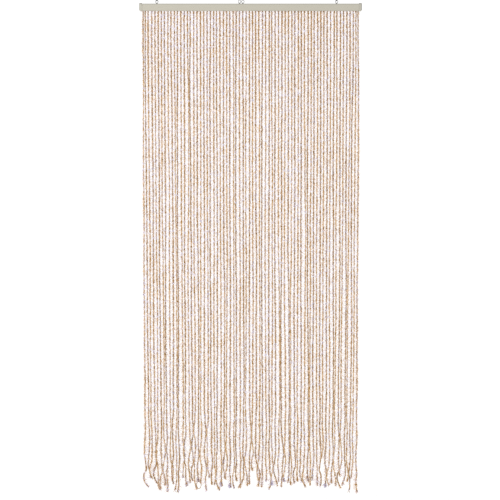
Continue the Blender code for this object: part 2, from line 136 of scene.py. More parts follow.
def new_material(name: str) -> tuple[Material, NodeTree, Node, NodeSocket]:
    """Makes a material with a Principled shader.

    Args:
        name: The finish's name.

    Returns:
        The material, its node tree, its shader and the places on the object in metres.
    """
    material = bpy.data.materials.new(name)
    material.use_nodes = True
    tree = material.node_tree
    place = add_node(tree, "ShaderNodeTexCoord").outputs["Object"]
    return material, tree, tree.nodes["Principled BSDF"], place


@dataclass(frozen=True)
class CoatedAluminium:
    """Extruded aluminium with a powder coat, baked on: satin, with a fine orange peel.

    The extrusion's draw lines run along the rail and show faintly through the coat, and a band
    along its top is coloured darker.
    """

    top: float
    name: str = "powder_coated_aluminium"
    colour: str = "#B0AC9F"
    shade: str = "#A5A193"
    top_band: str = "#98958A"
    top_band_mm: tuple[float, float] = (5.0, 3.0)
    peel_mm: float = 2.4
    line_mm: float = 1.1
    line_stretch: float = 0.02
    roughness: tuple[float, float] = (0.38, 0.52)

    def build(self) -> Material:
        """Makes the material.

        Returns:
            The material.
        """
        material, tree, shader, place = new_material(self.name)
        # Peel is really 1 to 2 mm across and draw lines are finer, and both are drawn coarser to show
        peel = add_node(tree, "ShaderNodeTexNoise", {"Scale": 1 / (self.peel_mm * MM), "Detail": 3.0},
                        {"Vector": place})
        along = add_node(tree, "ShaderNodeMapping", {"Scale": (self.line_stretch, 1.0, 1.0)},
                         {"Vector": place})
        lines = add_node(tree, "ShaderNodeTexNoise", {"Scale": 1 / (self.line_mm * MM), "Detail": 2.0},
                         {"Vector": along.outputs["Vector"]})
        tint = add_node(tree, "ShaderNodeMix",
                        {"data_type": "RGBA", COLOUR_A: linear(self.colour), COLOUR_B: linear(self.shade)},
                        {FACTOR: lines.outputs["Fac"]})
        height = add_node(tree, "ShaderNodeSeparateXYZ", {}, {"Vector": place})
        # A band along the top of the rail is coloured darker
        start, full = [self.top - below * MM for below in self.top_band_mm]
        ledge = add_node(tree, "ShaderNodeMapRange", {"From Min": start, "From Max": full},
                         {"Value": height.outputs["Z"]})
        top_banded = add_node(tree, "ShaderNodeMix", {"data_type": "RGBA", COLOUR_B: linear(self.top_band)},
                         {FACTOR: ledge.outputs["Result"], COLOUR_A: tint.outputs[MIXED]})
        gloss = add_node(tree, "ShaderNodeMapRange",
                         {"To Min": self.roughness[0], "To Max": self.roughness[1]},
                         {"Value": peel.outputs["Fac"]})
        ridge = add_node(tree, "ShaderNodeBump", {"Strength": 0.10, "Distance": 0.2 * MM},
                         {"Height": lines.outputs["Fac"]})
        bump = add_node(tree, "ShaderNodeBump", {"Strength": 0.22, "Distance": 0.3 * MM},
                        {"Height": peel.outputs["Fac"], "Normal": ridge.outputs["Normal"]})
        set_node(shader, {}, {"Base Color": top_banded.outputs[MIXED], "Roughness": gloss.outputs["Result"],
                              "Normal": bump.outputs["Normal"]})
        return material


@dataclass(frozen=True)
class MouldedPlastic:
    """Injection-moulded polypropylene in the rail's shade, with a spark-eroded grain.

    Its top and its outer side are darkened with painted shade, deeper on a cap whose side faces away from
    the key light.
    """

    top: float
    end: float
    name: str = "moulded_polypropylene_shaded"
    colour: str = "#B0AC9F"
    shade: str = "#A29F92"
    # The painted shade on the top and the outer side: its colour, where it starts and is full in mm, and
    # how dark the side gets
    painted_shade: str = "#78756B"
    painted_shade_mm: tuple[float, float] = (5.0, 2.0)
    painted_shade_side: float = 1.0
    grain_mm: float = 0.7
    cloud_mm: float = 9.0
    roughness: tuple[float, float] = (0.42, 0.58)

    def build(self) -> Material:
        """Makes the material.

        Returns:
            The material.
        """
        material, tree, shader, place = new_material(self.name)
        # The real grain is about 0.1 mm, and drawn coarser so that it shows from close by
        grain = add_node(tree, "ShaderNodeTexNoise", {"Scale": 1 / (self.grain_mm * MM), "Detail": 2.0},
                         {"Vector": place})
        cloud = add_node(tree, "ShaderNodeTexNoise", {"Scale": 1 / (self.cloud_mm * MM), "Detail": 2.0},
                         {"Vector": place})
        tint = add_node(tree, "ShaderNodeMix",
                        {"data_type": "RGBA", COLOUR_A: linear(self.colour), COLOUR_B: linear(self.shade)},
                        {FACTOR: cloud.outputs["Fac"]})
        spot = add_node(tree, "ShaderNodeSeparateXYZ", {}, {"Vector": place})
        sideways = add_node(tree, "ShaderNodeMath", {"operation": "ABSOLUTE"}, {0: spot.outputs["X"]})
        # Painted shade darkens the top and the outer side
        start, full = [self.top - below * MM for below in self.painted_shade_mm]
        upper = add_node(tree, "ShaderNodeMapRange", {"From Min": start, "From Max": full},
                         {"Value": spot.outputs["Z"]})
        start, full = [self.end - within * MM for within in self.painted_shade_mm]
        outer = add_node(tree, "ShaderNodeMapRange",
                         {"From Min": start, "From Max": full, "To Max": self.painted_shade_side},
                         {"Value": sideways.outputs["Value"]})
        shade_weight = add_node(tree, "ShaderNodeMath", {"operation": "MAXIMUM"},
                        {0: upper.outputs["Result"], 1: outer.outputs["Result"]})
        shaded_tint = add_node(tree, "ShaderNodeMix", {"data_type": "RGBA", COLOUR_B: linear(self.painted_shade)},
                          {FACTOR: shade_weight.outputs["Value"], COLOUR_A: tint.outputs[MIXED]})
        gloss = add_node(tree, "ShaderNodeMapRange",
                         {"To Min": self.roughness[0], "To Max": self.roughness[1]},
                         {"Value": grain.outputs["Fac"]})
        bump = add_node(tree, "ShaderNodeBump", {"Strength": 0.18, "Distance": 0.15 * MM},
                        {"Height": grain.outputs["Fac"]})
        set_node(shader, {}, {"Base Color": shaded_tint.outputs[MIXED], "Roughness": gloss.outputs["Result"],
                              "Normal": bump.outputs["Normal"]})
        return material


@dataclass(frozen=True)
class SteelWire:
    """Drawn steel wire, plated or blackened, with an uneven skin that dulls it in spots."""

    name: str
    colour: str
    shade: str
    metallic: float
    roughness: tuple[float, float]
    specular: float = 0.5
    spot_mm: float = 1.6

    def build(self) -> Material:
        """Makes the material.

        Returns:
            The material.
        """
        material, tree, shader, place = new_material(self.name)
        # Plated and blackened wire dulls in spots of 1 to 2 mm
        spots = add_node(tree, "ShaderNodeTexNoise", {"Scale": 1 / (self.spot_mm * MM), "Detail": 4.0},
                         {"Vector": place})
        tint = add_node(tree, "ShaderNodeMix",
                        {"data_type": "RGBA", COLOUR_A: linear(self.colour), COLOUR_B: linear(self.shade)},
                        {FACTOR: spots.outputs["Fac"]})
        gloss = add_node(tree, "ShaderNodeMapRange",
                         {"To Min": self.roughness[0], "To Max": self.roughness[1]},
                         {"Value": spots.outputs["Fac"]})
        bump = add_node(tree, "ShaderNodeBump", {"Strength": 0.15, "Distance": 0.1 * MM},
                        {"Height": spots.outputs["Fac"]})
        set_node(shader, {"Metallic": self.metallic, "Specular IOR Level": self.specular},
                 {"Base Color": tint.outputs[MIXED], "Roughness": gloss.outputs["Result"],
                  "Normal": bump.outputs["Normal"]})
        return material


@dataclass(frozen=True)
class TwistedYarn:
    """Two-ply spun polyester yarn, dyed tan: matt, with short fibres that run along the string.

    The tone attribute holds how pale each stretch of a string is.
    """

    name: str = "twisted_polyester_yarn"
    dark: str = "#9D7630"
    pale: str = "#D9BB90"
    fibre_mm: float = 0.8
    fibre_stretch: float = 0.35
    uneven: float = 0.5
    roughness: float = 0.82
    sheen: float = 0.12

    def build(self) -> Material:
        """Makes the material.

        Returns:
            The material.
        """
        material, tree, shader, place = new_material(self.name)
        tone = add_node(tree, "ShaderNodeAttribute", {"attribute_name": "tone"})
        # Fibres are 0.02 mm thick, and drawn as bundles of nearly a millimetre
        stretch = add_node(tree, "ShaderNodeMapping", {"Scale": (1.0, 1.0, self.fibre_stretch)},
                           {"Vector": place})
        fibre = add_node(tree, "ShaderNodeTexNoise", {"Scale": 1 / (self.fibre_mm * MM), "Detail": 3.0},
                         {"Vector": stretch.outputs["Vector"]})
        uneven = add_node(tree, "ShaderNodeMath",
                          {"operation": "MULTIPLY_ADD", 1: self.uneven, 2: -self.uneven / 2},
                          {0: fibre.outputs["Fac"]})
        dyed = add_node(tree, "ShaderNodeMath", {"operation": "ADD", "use_clamp": True},
                        {0: tone.outputs["Fac"], 1: uneven.outputs["Value"]})
        tint = add_node(tree, "ShaderNodeMix",
                        {"data_type": "RGBA", COLOUR_A: linear(self.dark), COLOUR_B: linear(self.pale)},
                        {FACTOR: dyed.outputs["Value"]})
        bump = add_node(tree, "ShaderNodeBump", {"Strength": 0.6, "Distance": 0.4 * MM},
                        {"Height": fibre.outputs["Fac"]})
        set_node(shader, {"Roughness": self.roughness, "Sheen Weight": self.sheen},
                 {"Base Color": tint.outputs[MIXED], "Normal": bump.outputs["Normal"]})
        return material


@dataclass(frozen=True)
class LeafFilm:
    """Leaves punched from thin polyethylene film: a soft waxy gloss, and each leaf its own shade."""

    name: str
    dark: str
    pale: str
    roughness: float
    mottle_mm: float = 2.2
    uneven: float = 0.3

    def build(self) -> Material:
        """Makes the material.

        Returns:
            The material.
        """
        material, tree, shader, place = new_material(self.name)
        tone = add_node(tree, "ShaderNodeAttribute", {"attribute_name": "tone"})
        # The film is cloudy in patches of about 2 mm, a quarter of a leaf's length
        mottle = add_node(tree, "ShaderNodeTexNoise", {"Scale": 1 / (self.mottle_mm * MM), "Detail": 2.0},
                          {"Vector": place})
        uneven = add_node(tree, "ShaderNodeMath",
                          {"operation": "MULTIPLY_ADD", 1: self.uneven, 2: -self.uneven / 2},
                          {0: mottle.outputs["Fac"]})
        shade = add_node(tree, "ShaderNodeMath", {"operation": "ADD", "use_clamp": True},
                         {0: tone.outputs["Fac"], 1: uneven.outputs["Value"]})
        tint = add_node(tree, "ShaderNodeMix",
                        {"data_type": "RGBA", COLOUR_A: linear(self.dark), COLOUR_B: linear(self.pale)},
                        {FACTOR: shade.outputs["Value"]})
        bump = add_node(tree, "ShaderNodeBump", {"Strength": 0.3, "Distance": 0.2 * MM},
                        {"Height": mottle.outputs["Fac"]})
        set_node(shader, {"Roughness": self.roughness},
                 {"Base Color": tint.outputs[MIXED], "Normal": bump.outputs["Normal"]})
        return material


@dataclass(frozen=True)
class ExtrudedVinyl:
    """Extruded soft vinyl: a satin skin with faint flow lines along the strip."""

    name: str = "extruded_vinyl"
    colour: str = "#D6CAB4"
    shade: str = "#BFAF95"
    line_mm: float = 0.9
    line_stretch: float = 0.03
    roughness: float = 0.45

    def build(self) -> Material:
        """Makes the material.

        Returns:
            The material.
        """
        material, tree, shader, place = new_material(self.name)
        along = add_node(tree, "ShaderNodeMapping", {"Scale": (self.line_stretch, 1.0, 1.0)},
                         {"Vector": place})
        # Real flow lines are 0.2 mm apart, and drawn coarser so that they show
        lines = add_node(tree, "ShaderNodeTexNoise", {"Scale": 1 / (self.line_mm * MM), "Detail": 2.0},
                         {"Vector": along.outputs["Vector"]})
        tint = add_node(tree, "ShaderNodeMix",
                        {"data_type": "RGBA", COLOUR_A: linear(self.colour), COLOUR_B: linear(self.shade)},
                        {FACTOR: lines.outputs["Fac"]})
        bump = add_node(tree, "ShaderNodeBump", {"Strength": 0.2, "Distance": 0.15 * MM},
                        {"Height": lines.outputs["Fac"]})
        set_node(shader, {"Roughness": self.roughness},
                 {"Base Color": tint.outputs[MIXED], "Normal": bump.outputs["Normal"]})
        return material


@dataclass(frozen=True)
class StudioPaint:
    """White studio paint, rolled on: matt, with hardly any texture."""

    name: str = "studio_white_paint"
    colour: str = "#FCFCFB"
    nap_mm: float = 6.0
    roughness: float = 0.9

    def build(self) -> Material:
        """Makes the material.

        Returns:
            The material.
        """
        material, tree, shader, place = new_material(self.name)
        # A roller leaves dimples some 6 mm apart
        nap = add_node(tree, "ShaderNodeTexNoise", {"Scale": 1 / (self.nap_mm * MM)}, {"Vector": place})
        bump = add_node(tree, "ShaderNodeBump", {"Strength": 0.05, "Distance": 0.2 * MM},
                        {"Height": nap.outputs["Fac"]})
        set_node(shader, {"Base Color": linear(self.colour), "Roughness": self.roughness},
                 {"Normal": bump.outputs["Normal"]})
        return material


@dataclass
class Skin:
    """Points and faces gathered for one mesh, with a tone for each point."""

    points: list[np.ndarray] = field(default_factory=list)
    tones: list[np.ndarray] = field(default_factory=list)
    corners: list[np.ndarray] = field(default_factory=list)
    sizes: list[np.ndarray] = field(default_factory=list)
    slots: list[np.ndarray] = field(default_factory=list)
    smooth: list[np.ndarray] = field(default_factory=list)
    count: int = 0

    def add(self, points: np.ndarray, faces: np.ndarray, tones: np.ndarray, slot: int,
            smooth: bool = True) -> None:
        """Adds points and the faces between them.

        Args:
            points: One row of x, y, z for each point.
            faces: One row of point numbers for each face, all of one size.
            tones: One tone for each point.
            slot: The material's place on the object.
            smooth: Whether the faces are shaded smooth.
        """
        self.points.append(points)
        self.tones.append(tones)
        self.add_faces(faces + self.count, slot, smooth)
        self.count += len(points)

    def add_faces(self, faces: np.ndarray, slot: int, smooth: bool) -> None:
        """Adds faces between points that the skin already has.

        Args:
            faces: One row of point numbers for each face.
            slot: The material's place on the object.
            smooth: Whether the faces are shaded smooth.
        """
        self.corners.append(faces.ravel())
        self.sizes.append(np.full(len(faces), faces.shape[1]))
        self.slots.append(np.full(len(faces), slot))
        self.smooth.append(np.full(len(faces), smooth))

    def add_rings(self, rings: np.ndarray, tones: np.ndarray | float = 0.5, closed: bool = False) -> None:
        """Adds the skin between rings in the first material, and closes its ends unless it runs round.

        Args:
            rings: Points by ring, by place on the ring, and by x, y, z.
            tones: One tone for each ring, or one for all.
            closed: Whether the last ring joins the first.
        """
        amount, sides = rings.shape[:2]
        ring, side = np.meshgrid(np.arange(amount if closed else amount - 1), np.arange(sides),
                                 indexing="ij")
        after, beside = (ring + 1) % amount, (side + 1) % sides
        quads = (ring * sides + side, ring * sides + beside, after * sides + beside, after * sides + side)
        faces = np.stack(quads, axis=-1).reshape(-1, 4)
        start = self.count
        self.add(rings.reshape(-1, 3), faces, np.repeat(np.broadcast_to(tones, amount), sides), 0)
        if not closed:
            ends = np.stack((np.arange(sides)[::-1], np.arange(sides) + (amount - 1) * sides))
            self.add_faces(ends + start, 0, False)

    def build(self, name: str, finishes: list[Material]) -> Object:
        """Makes the object.

        Args:
            name: The piece's name.
            finishes: The materials, in the order of the slots.

        Returns:
            The object, linked to the scene.
        """
        points = np.concatenate(self.points).astype(np.float32)
        corners = np.concatenate(self.corners).astype(np.int32)
        sizes = np.concatenate(self.sizes)
        starts = np.concatenate(([0], np.cumsum(sizes)[:-1])).astype(np.int32)
        mesh = bpy.data.meshes.new(name)
        mesh.vertices.add(len(points))
        mesh.vertices.foreach_set("co", points.ravel())
        mesh.loops.add(len(corners))
        mesh.loops.foreach_set("vertex_index", corners)
        mesh.polygons.add(len(sizes))
        mesh.polygons.foreach_set("loop_start", starts)
        mesh.polygons.foreach_set("material_index", np.concatenate(self.slots).astype(np.int32))
        mesh.polygons.foreach_set("use_smooth", np.concatenate(self.smooth))
        mesh.update(calc_edges=True)
        tone = mesh.attributes.new("tone", "FLOAT", "POINT")
        tone.data.foreach_set("value", np.concatenate(self.tones).astype(np.float32))
        for finish in finishes:
            mesh.materials.append(finish)
        piece = bpy.data.objects.new(name, mesh)
        bpy.context.scene.collection.objects.link(piece)
        return piece


def fit(piece: Object, slot: str, *nodes: str) -> Object:
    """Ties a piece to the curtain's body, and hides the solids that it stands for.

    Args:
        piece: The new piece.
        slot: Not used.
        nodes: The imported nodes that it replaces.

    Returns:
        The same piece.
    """
    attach(piece, BODY)
    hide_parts(*nodes)
    triangles = sum(len(polygon.vertices) - 2 for polygon in piece.data.polygons)
    LOG.info("%s: %d triangles", piece.name, triangles)
    return piece


def unit(rows: np.ndarray) -> np.ndarray:
    """Gives each row a length of 1."""
    return rows / np.linalg.norm(rows, axis=1, keepdims=True)


def round_angles(count: int) -> np.ndarray:
    """Gives angles that lie evenly once round."""
    return 2 * math.pi * np.arange(count) / count


def directions(path: np.ndarray, closed: bool = False) -> np.ndarray:
    """Gives the way that a path runs at each of its points.

    Args:
        path: The path's points.
        closed: Whether it runs round.

    Returns:
        One row of length 1 for each point.
    """
    if closed:
        return unit(np.roll(path, -1, axis=0) - np.roll(path, 1, axis=0))
    return unit(np.gradient(path, axis=0))


def turned(centre: np.ndarray, profile: list[tuple[float, float]], sides: int) -> np.ndarray:
    """Gives the rings of a turned piece.

    Args:
        centre: A point on its upright axis.
        profile: Radius and height above the centre, from one end to the other.
        sides: How many points each ring has.

    Returns:
        The rings' points.
    """
    angle = round_angles(sides)
    radius, height = np.array(profile).T
    x = radius[:, None] * np.cos(angle)
    y = radius[:, None] * np.sin(angle)
    z = np.repeat(height[:, None], sides, axis=1)
    return np.stack((x, y, z), axis=-1) + centre


def bent_wire(path: np.ndarray, across: np.ndarray | tuple[float, float, float],
              radius: np.ndarray | float, sides: int, closed: bool = False) -> np.ndarray:
    """Gives the rings of a bent wire or ply.

    Args:
        path: Its centre line.
        across: A direction square to the path, one for all points or one for each.
        radius: Its radius, one for all points or one for each.
        sides: How many points each ring has.
        closed: Whether it runs round.

    Returns:
        The rings' points.
    """
    across = np.broadcast_to(np.array(across), path.shape)
    outward = np.cross(directions(path, closed), across)
    angle = round_angles(sides)[None, :, None]
    ring = np.cos(angle) * across[:, None] + np.sin(angle) * outward[:, None]
    return path[:, None] + ring * np.broadcast_to(radius, len(path))[:, None, None]


@dataclass
class HeaderRail:
    """The header rail and its two end caps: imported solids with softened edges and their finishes."""

    rail_edge: float = 0.35 * MM
    cap_edge: float = 0.7 * MM
    edge_steps: int = 2
    sharp: float = math.radians(35)
    # How much painted shade each cap's outer side takes; the right one faces away from the key light
    side_shade_weight: tuple[tuple[str, float], ...] = (("left", 0.35), ("right", 1.0))

    def build(self) -> None:
        """Dresses the rail and the caps."""
        self.dress("rail", CoatedAluminium(top=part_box("rail")[1].z).build(), self.rail_edge)
        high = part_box("end_cap_right")[1]
        for side, painted_shade in self.side_shade_weight:
            cap = MouldedPlastic(high.z, high.x, f"moulded_polypropylene_shaded_{side}", painted_shade_side=painted_shade)
            self.dress(f"end_cap_{side}", cap.build(), self.cap_edge)

    def dress(self, name: str, finish: Material, edge: float) -> None:
        """Softens a solid's edges and gives it its finish.

        Args:
            name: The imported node.
            finish: Its material.
            edge: How far its edges are rounded.
        """
        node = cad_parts[name]
        node.data.materials.clear()
        node.data.materials.append(finish)
        bevel = node.modifiers.new("soft_edges", "BEVEL")
        bevel.width = edge
        bevel.segments = self.edge_steps
        bevel.limit_method = "ANGLE"
        bevel.angle_limit = self.sharp
        LOG.info("%s: dressed", name)


@dataclass
class WireEye:
    """An oval of zinc-plated wire on a collar, riveted through the rail's top wall."""

    node: str
    wire: float = 2.0 * MM
    wire_points: int = 48
    wire_sides: int = 12
    hole_width: float = 10.0 * MM
    hole_height: float = 10.5 * MM
    collar_radius: float = 4.2 * MM
    collar_height: float = 1.4 * MM
    neck_radius: float = 1.8 * MM
    neck_taper: float = 0.9
    neck_height: float = 0.6 * MM
    rivet_radius: float = 1.6 * MM
    head_radius: float = 3.4 * MM
    head_height: float = 1.2 * MM
    turned_sides: int = 24
    soft: float = 0.35 * MM

    def __post_init__(self) -> None:
        """Finds the eye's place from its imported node."""
        low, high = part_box(self.node)
        self.foot = np.array([(low.x + high.x) / 2, 0.0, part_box("rail")[1].z])

    @property
    def hole_top(self) -> float:
        """Gives the height of the hole's top above the rail."""
        return self.collar_height + self.neck_height + self.wire + self.hole_height

    def build(self, finish: Material) -> Object:
        """Builds the eye.

        Args:
            finish: The wire's material.

        Returns:
            The eye.
        """
        skin = Skin()
        turn = round_angles(self.wire_points)
        wide = (self.hole_width + self.wire) / 2 * np.sin(turn)
        tall = (self.hole_height + self.wire) / 2 * np.cos(turn)
        middle = self.hole_top - self.hole_height / 2
        path = self.foot + np.stack((wide, np.zeros(self.wire_points), middle + tall), axis=1)
        skin.add_rings(bent_wire(path, (0, 1, 0), self.wire / 2, self.wire_sides, closed=True), closed=True)
        inside = RAIL_WALL + GAP
        rim = self.collar_height
        shank = [
            (self.head_radius - self.soft, -inside - self.head_height),
            (self.head_radius, -inside - self.head_height + self.soft),
            (self.head_radius, -inside),
            (self.rivet_radius, -inside),
            (self.rivet_radius, GAP),
            (self.collar_radius, GAP),
            (self.collar_radius, rim - self.soft),
            (self.collar_radius - self.soft, rim),
            (self.neck_radius + self.soft, rim),
            (self.neck_radius, rim + self.soft),
            (self.neck_radius * self.neck_taper, rim + self.neck_height + self.wire / 2),
        ]
        skin.add_rings(turned(self.foot, shank, self.turned_sides))
        return fit(skin.build(f"wire_{self.node}", [finish]), "eye", self.node)


@dataclass
class ScrewHook:
    """A blackened screw hook: its bend holds an eye, and its collar sits against the lintel."""

    node: str
    eye: WireEye
    wire: float = 4.0 * MM
    wire_sides: int = 14
    tip_taper: tuple[float, ...] = (0.45, 0.8, 0.95)
    hole_radius: float = 5.0 * MM
    shank: float = 5.0 * MM
    tip_angle: float = math.radians(205)
    neck_angle: float = math.radians(48)
    bend_points: int = 44
    neck_points: int = 10
    collar_radius: float = 5.8 * MM
    collar_height: float = 1.6 * MM
    collar_sides: int = 28
    screw_radius: float = 1.5 * MM
    screw_length: float = 14.0 * MM
    screw_rings: int = 90
    screw_sides: int = 16
    point_length: float = 4.0 * MM
    point_share: float = 0.08
    thread_pitch: float = 1.8 * MM
    thread_depth: float = 0.45 * MM
    thread_steepness: float = 2.2
    soft: float = 0.4 * MM

    def __post_init__(self) -> None:
        """Finds the place on the lintel straight above the eye."""
        self.seat = self.eye.foot * (1, 1, 0)

    def centre_line(self) -> np.ndarray:
        """Gives the wire's path.

        Returns:
            Its points, from its tip round the bend and up the shank.
        """
        bend = self.hole_radius + self.wire / 2
        centre = self.eye.foot + (0, 0, self.eye.hole_top - GAP - self.wire / 2 + bend)
        sweep = np.linspace(-self.tip_angle, self.neck_angle, self.bend_points)
        arc = np.stack((np.zeros(self.bend_points), np.cos(sweep), np.sin(sweep)), axis=1)
        points = centre + bend * arc
        neck = self.seat + (0, 0, centre[2] + bend + self.shank / 2)
        pull = (neck[2] - points[-1][2]) / 2
        leave = points[-1] + pull * np.array([0, -math.sin(self.neck_angle), math.cos(self.neck_angle)])
        t = np.linspace(0, 1, self.neck_points)[1:, None]
        arrive = neck - (0, 0, pull)
        curve = ((1 - t) ** 3 * points[-1] + 3 * t * (1 - t) ** 2 * leave
                 + 3 * t ** 2 * (1 - t) * arrive + t ** 3 * neck)
        end = self.seat - (0, 0, self.collar_height / 2)
        return np.vstack((points, curve, end))

    def thread(self) -> np.ndarray:
        """Gives the threaded stem above the collar.

        Returns:
            Its rings' points.
        """
        height = np.linspace(0, self.screw_length, self.screw_rings)[:, None]
        angle = round_angles(self.screw_sides)[None, :]
        taper = np.clip((self.screw_length - height) / self.point_length, self.point_share, 1)
        crest = np.abs((height / self.thread_pitch - angle / (2 * math.pi)) % 1 - 0.5) * 2
        fade = np.clip(height / self.thread_pitch - 1, 0, 1)
        core = self.screw_radius - self.thread_depth * fade
        ridge = np.clip(self.thread_steepness * crest - 1, 0, 1)
        radius = (core + self.thread_depth * fade * ridge) * taper
        x, y = radius * np.cos(angle), radius * np.sin(angle)
        return np.stack((x, y, np.broadcast_to(height, x.shape)), axis=-1) + self.seat

    def build(self, finish: Material) -> Object:
        """Builds the hook.

        Args:
            finish: The hook's material.

        Returns:
            The hook.
        """
        skin = Skin()
        path = self.centre_line()
        radius = np.full(len(path), self.wire / 2)
        radius[:len(self.tip_taper)] *= self.tip_taper
        skin.add_rings(bent_wire(path, (1, 0, 0), radius, self.wire_sides))
        low, rim = -self.collar_height, self.collar_radius
        collar = [(rim - self.soft, low), (rim, low + self.soft), (rim, -self.soft), (rim - self.soft, 0.0)]
        skin.add_rings(turned(self.seat, collar, self.collar_sides))
        skin.add_rings(self.thread())
        return fit(skin.build(f"screw_{self.node}", [finish]), "hook", self.node)


@dataclass
class HeadingStrip:
    """The vinyl strip in the rail's channel that holds every string's root."""

    height: float = 8.0 * MM
    depth: float = 12.2 * MM
    groove: float = 0.6 * MM
    groove_span: tuple[float, ...] = (0.35, 0.45, 0.55, 0.65)
    soft: float = 0.5 * MM
    stations: int = 41

    def build(self, foot: float) -> Object:
        """Builds the strip.

        Args:
            foot: The height of its underside.

        Returns:
            The strip.
        """
        low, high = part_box("rail")
        half = self.depth / 2
        inner = half - self.groove
        top = foot + self.height
        side = [(half - self.soft, foot), (half, foot + self.soft)]
        side += [(y, foot + share * self.height)
                 for y, share in zip((half, inner, inner, half), self.groove_span)]
        side += [(half, top - self.soft), (half - self.soft, top)]
        outline = np.array(side + [(-y, z) for y, z in side[::-1]])
        rings = np.empty((self.stations, len(outline), 3))
        rings[:, :, 0] = np.linspace(low.x + GAP, high.x - GAP, self.stations)[:, None]
        rings[:, :, 1:] = outline[None]
        skin = Skin()
        skin.add_rings(rings)
        return fit(skin.build("heading_strip", [ExtrudedVinyl().build()]), "strand", "strands")


def read_courses(node: Object, foot: float) -> list[np.ndarray]:
    """Reads each string's course from the solid of all strings.

    The solid's strings join only at the heading strip, so below it each is a group of points by
    itself.

    Args:
        node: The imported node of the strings.
        foot: The height of the heading strip's underside.

    Returns:
        For each string from left to right, its ring centres from the top down.
    """
    co = np.empty(len(node.data.vertices) * 3, np.float32)
    node.data.vertices.foreach_get("co", co)
    rounded = np.round(co.reshape(-1, 3).astype(float), 6)
    points, merged = np.unique(rounded, axis=0, return_inverse=True)
    ends = np.empty(len(node.data.edges) * 2, np.int32)
    node.data.edges.foreach_get("vertices", ends)
    pairs = merged.ravel()[ends].reshape(-1, 2)
    below = points[:, 2] < foot - READ_BELOW
    pairs = pairs[below[pairs].all(axis=1)]
    group = np.arange(len(points))
    while True:
        lowest = np.minimum(group[pairs[:, 0]], group[pairs[:, 1]])
        before = group.copy()
        np.minimum.at(group, pairs[:, 0], lowest)
        np.minimum.at(group, pairs[:, 1], lowest)
        if (group == before).all():
            break
    courses = []
    for label in np.unique(group[below]):
        members = points[below & (group == label)]
        members = members[np.argsort(-members[:, 2])]
        centres = members.reshape(-1, RING_POINTS, 3).mean(axis=1)
        root = np.array([centres[0][0], 0.0, foot])
        courses.append(np.vstack([root, centres]))
    return sorted(courses, key=lambda course: course[0][0])


def smooth_course(points: np.ndarray, step: float) -> np.ndarray:
    """Runs an even row of points along a smooth curve through a string's ring centres.

    Args:
        points: The ring centres, from the top down.
        step: The distance between the new points.

    Returns:
        The new points.
    """
    along = np.concatenate(([0.0], np.cumsum(np.linalg.norm(np.diff(points, axis=0), axis=1))))
    count = int(round(along[-1] / step)) + 1
    spots = np.linspace(0.0, along[-1], count)
    slopes = np.gradient(points, along, axis=0)
    i = np.clip(np.searchsorted(along, spots, side="right") - 1, 0, len(along) - 2)
    span = (along[i + 1] - along[i])[:, None]
    t = (spots - along[i])[:, None] / span
    return ((2 * t ** 3 - 3 * t ** 2 + 1) * points[i] + (t ** 3 - 2 * t ** 2 + t) * span * slopes[i]
            + (3 * t ** 2 - 2 * t ** 3) * points[i + 1] + (t ** 3 - t ** 2) * span * slopes[i + 1])


class LeafKind(Enum):
    """What a leaf on a string is."""

    TUFT = 1
    FLECK = 2
    FILM = 3
    WISP = 4


class Film(Enum):
    """What film a leaf is punched from, as its material's place on the object."""

    TAN = 1
    PEARL = 2
    STRAW = 3


class StringEnd(Enum):
    """How a string's lower end is finished."""

    FRAYED = 1
    FORKED = 2
    KNOTTED = 3
    TUFTED = 4


# What each film is: its darkest and its palest shade, and how rough it is
FILMS = {
    Film.TAN: LeafFilm("tan_film_leaf", "#9F762D", "#DDBE96", roughness=0.55),
    Film.PEARL: LeafFilm("pearl_film_leaf", "#B2AECA", "#EEECFA", roughness=0.30),
    Film.STRAW: LeafFilm("straw_film_leaf", "#D4A66C", "#EEE6F0", roughness=0.40),
}


@dataclass(frozen=True)
class LeafRule:
    """How the leaves of one kind are cut, and how they stand on the string.

    They spread about a point that lies below each knob by the offset, a share of the gap. The last
    four say how far the knob's own tone and its share of pearl carry over to their tones, how many
    of them that share calls for, as a start and a slope, and what part the lowest knob keeps.
    """

    kind: LeafKind
    film: Film
    length: tuple[float, float]
    width: tuple[float, float]
    lean_deg: tuple[float, float]
    roll_deg: float
    arch: float
    tone: tuple[float, float]
    per_knob: float = 0.0
    spread: float = 0.0
    offset: float = 0.0
    by_knob: float = 0.0
    by_pearl: float = 0.0
    amount: tuple[float, float] = (1.0, 0.0)
    lowest: float = 1.0


LEAF_RULES = (
    LeafRule(LeafKind.TUFT, Film.TAN, length=(8.0 * MM, 11.0 * MM), width=(2.8 * MM, 4.0 * MM),
             lean_deg=(4, 20), roll_deg=20, arch=0.10, tone=(-0.125, 0.145), per_knob=7.0,
             spread=3.0 * MM, by_knob=0.5, amount=(1.35, -0.35)),
    LeafRule(LeafKind.FLECK, Film.TAN, length=(7.0 * MM, 10.5 * MM), width=(2.4 * MM, 3.6 * MM),
             lean_deg=(5, 30), roll_deg=40, arch=0.12, tone=(0.5, 1.0), per_knob=4.7,
             spread=4.5 * MM, offset=0.5, amount=(2.0, -1.0)),
    LeafRule(LeafKind.FILM, Film.PEARL, length=(7.0 * MM, 11.0 * MM), width=(2.6 * MM, 3.8 * MM),
             lean_deg=(8, 40), roll_deg=45, arch=0.12, tone=(0.0, 1.0), per_knob=5.6,
             spread=4.5 * MM, offset=0.5, amount=(0.0, 1.0), lowest=0.45),
    LeafRule(LeafKind.WISP, Film.STRAW, length=(9.0 * MM, 14.0 * MM), width=(1.1 * MM, 1.9 * MM),
             lean_deg=(30, 88), roll_deg=80, arch=0.08, tone=(0.06, 0.40), per_knob=27.0,
             by_pearl=0.3, lowest=0.45),
)

